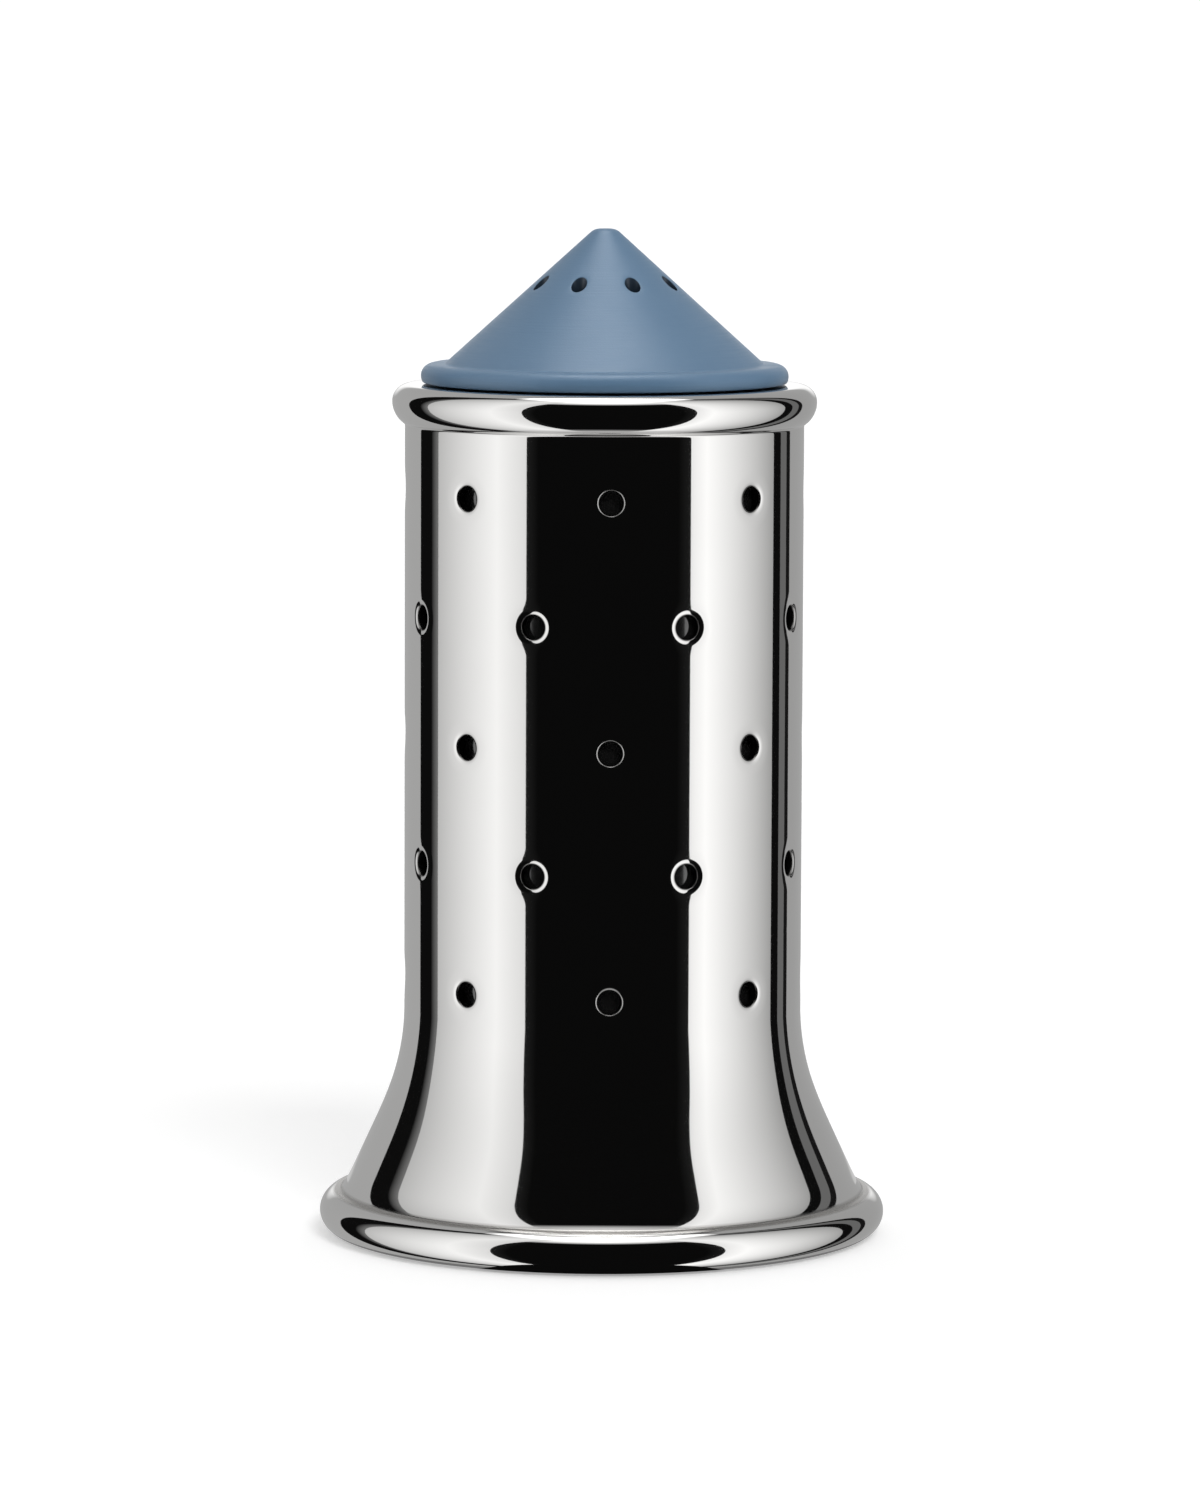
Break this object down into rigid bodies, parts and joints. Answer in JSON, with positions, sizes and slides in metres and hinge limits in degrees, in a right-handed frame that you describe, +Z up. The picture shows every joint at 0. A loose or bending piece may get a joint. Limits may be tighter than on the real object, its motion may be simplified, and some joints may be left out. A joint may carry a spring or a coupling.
{
  "type": "salt shaker",
  "caption": "Table salt shaker: polished perforated steel sleeve with beaded flared foot round a dark salt cup, closed by a blue conical screw cap with sprinkle holes.",
  "frame": {"origin": "centre of the foot on the table, on the shaker's upright axis", "axes": "+Z up along the axis of the sleeve and cap, -Y towards the viewer of the picture"},
  "size_m": [0.0518, 0.0518, 0.092],
  "materials": {
    "polished_steel": "polished",
    "blue_plastic": "satin",
    "seal_rubber": "matte",
    "dark_plastic": "gloss"
  },
  "bodies": {
    "shaker": {"sleeve": "polished_steel", "salt_cup": "dark_plastic", "base_plate": "dark_plastic"},
    "gasket": {"cap_gasket": "seal_rubber"},
    "cap": {"cap": "blue_plastic"}
  },
  "joints": [
    {"name": "cap_rise", "type": "slide", "parent": "shaker", "child": "gasket", "axis": [0, 0, 1], "range_m": [0, 0.0075]},
    {"name": "cap_turn", "type": "hinge", "parent": "gasket", "child": "cap", "pos_m": [0, 0, 0.0776], "axis": [0, 0, 1], "range_deg": [0, 450]}
  ],
  "couplings": [
    {"joint": "cap_rise", "follows": "cap_turn", "m_per_rad": 0.00095492}
  ]
}
